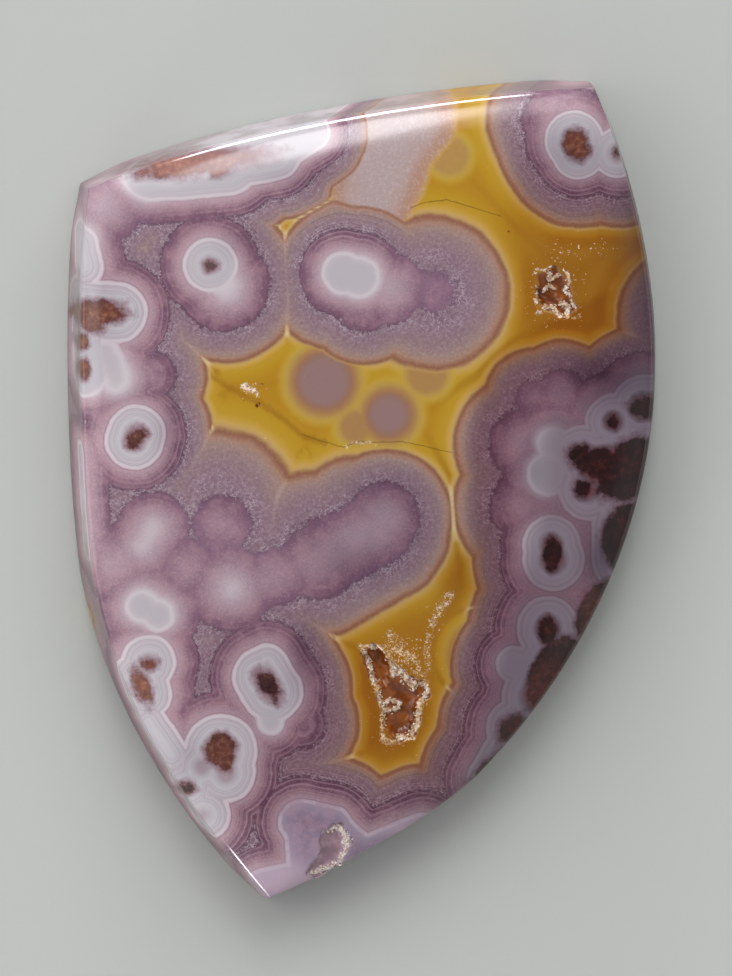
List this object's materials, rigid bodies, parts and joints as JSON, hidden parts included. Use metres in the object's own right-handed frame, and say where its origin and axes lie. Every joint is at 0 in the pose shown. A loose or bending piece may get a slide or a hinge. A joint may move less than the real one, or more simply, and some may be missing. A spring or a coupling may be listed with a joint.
{
  "type": "agate cabochon",
  "caption": "Shield-shaped cabochon of banded tube agate with a flat back, a leaning wall and a low polished dome that cuts small quartz-lined hollows.",
  "frame": {"origin": "middle of the flat back", "axes": "+Z out of the polished face, +Y from the pointed tip towards the wide end, +X to the right when the face is seen with the tip down"},
  "size_m": [0.0276, 0.0382, 0.0049],
  "materials": {
    "polished_agate": "polished to a glassy shine on the face, matte on the wall and back",
    "amber_quartz": "tiny glassy crystal points",
    "pale_quartz": "tiny glassy crystal points"
  },
  "bodies": {
    "root": {"agate_stone": "polished_agate", "crystals_lower_hollow": "amber_quartz", "crystals_upper_hollow": "amber_quartz", "crystals_tip_hollow": "pale_quartz"}
  },
  "joints": []
}
